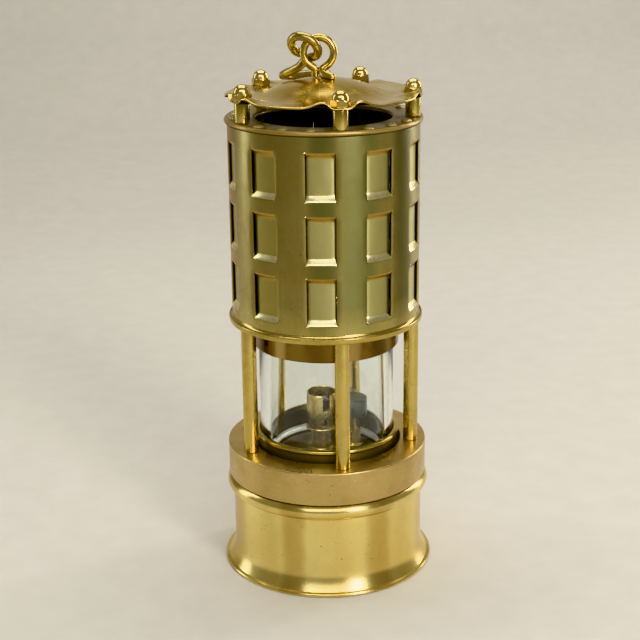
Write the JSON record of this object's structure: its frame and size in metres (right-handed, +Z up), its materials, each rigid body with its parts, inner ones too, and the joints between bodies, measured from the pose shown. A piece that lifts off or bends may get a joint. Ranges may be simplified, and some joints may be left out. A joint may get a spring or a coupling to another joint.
{
  "type": "miner's flame safety lamp",
  "caption": "Brass flame safety lamp: round fount with wick burner, thick glass in a pillared frame, slotted bonnet with gauzes, domed crown and hanging hook.",
  "frame": {"origin": "centre of the foot's flat underside, on the lamp's vertical axis", "axes": "+Z up along the lamp's axis; -Y is the front; the hook hangs behind at +Y"},
  "size_m": [0.1, 0.1, 0.2514],
  "materials": {
    "polished_brass": "polished",
    "yellow_brass": "polished, lightly tarnished",
    "satin_brass": "satin with patina",
    "red_brass": "turned satin",
    "brown_brass": "brown tarnish",
    "sooty_brass": "dark, heat stained",
    "steel_gauze": "sooty wire gauze",
    "steel": "dull",
    "flint_alloy": "rough",
    "cotton": "woven, top charred",
    "white_packing": "matt fibre",
    "dark_gasket": "matt",
    "lamp_glass": "clear"
  },
  "bodies": {
    "fount": {"fount_shell": "polished_brass", "fount_base_plate": "sooty_brass", "fount_deck": "sooty_brass", "fuel_wadding": "cotton", "wick_gland": "sooty_brass", "relighter_gland": "sooty_brass", "filler_bush": "sooty_brass", "wick_tube": "sooty_brass", "burner_shroud": "sooty_brass", "relighter_sealing_tube": "sooty_brass", "relighter_stem": "sooty_brass", "relighter_housing": "steel", "flint_tube": "sooty_brass", "flint": "flint_alloy", "flint_spring": "steel", "flint_screw": "steel"},
    "wick": {"wick": "cotton", "wick_carrier": "sooty_brass"},
    "wick_adjuster": {"wick_spindle": "steel", "wick_knob": "polished_brass"},
    "relighter": {"relighter_spindle": "steel", "striker_wheel": "steel", "relighter_key": "polished_brass"},
    "filler_seal": {"filler_washer": "dark_gasket"},
    "filler_cap": {"filler_plug": "polished_brass"},
    "fount_seal": {"fount_gasket": "dark_gasket"},
    "frame": {"lower_ring": "red_brass", "glass_seat_ring": "yellow_brass", "lower_glass_gasket": "white_packing", "glass_cylinder": "lamp_glass", "upper_glass_gasket": "white_packing", "glass_collar": "brown_brass", "middle_ring": "brown_brass", "gauze_inner": "steel_gauze", "gauze_outer": "steel_gauze", "gauze_ring": "brown_brass", "pillars": "yellow_brass", "tie_rods": "steel", "bonnet_shell": "satin_brass", "bonnet_top_plate": "satin_brass", "top_plate_rivets": "yellow_brass", "crown_posts": "yellow_brass", "crown": "yellow_brass", "crown_nuts": "polished_brass", "hanger_eye": "yellow_brass", "hanger_washer": "yellow_brass"},
    "hook": {"hook": "brown_brass"}
  },
  "joints": [
    {"name": "wick_lift", "type": "slide", "parent": "fount", "child": "wick", "axis": [0, 0, 1], "range_m": [-0.006, 0.004]},
    {"name": "wick_adjust", "type": "hinge", "parent": "fount", "child": "wick_adjuster", "pos_m": [-0.0024, 0.012, 0.0046], "axis": [0, 0, 1], "range_deg": [-2160, 1440]},
    {"name": "relighter_turn", "type": "hinge", "parent": "fount", "child": "relighter", "pos_m": [0.0134, 0.005, 0.0046], "axis": [0, 0, 1], "continuous": true},
    {"name": "filler_draw", "type": "slide", "parent": "fount", "child": "filler_seal", "axis": [0, 0, -1], "range_m": [0, 0.006]},
    {"name": "filler_unscrew", "type": "hinge", "parent": "filler_seal", "child": "filler_cap", "pos_m": [-0.01, -0.024, 0.0046], "axis": [0, 0, -1], "range_deg": [0, 2160]},
    {"name": "frame_lift", "type": "slide", "parent": "fount", "child": "fount_seal", "axis": [0, 0, 1], "range_m": [0, 0.009]},
    {"name": "frame_unscrew", "type": "hinge", "parent": "fount_seal", "child": "frame", "pos_m": [0, 0, 0.0449], "axis": [0, 0, 1], "range_deg": [0, 2160]},
    {"name": "hook_swing", "type": "hinge", "parent": "frame", "child": "hook", "pos_m": [-0.008, 0, 0.2446], "axis": [1, 0, 0], "range_deg": [0, 85]}
  ],
  "couplings": [
    {"joint": "wick_lift", "follows": "wick_adjust", "m_per_rad": 0.00015915},
    {"joint": "filler_draw", "follows": "filler_unscrew", "m_per_rad": 0.00015915},
    {"joint": "frame_lift", "follows": "frame_unscrew", "m_per_rad": 0.00023873}
  ]
}
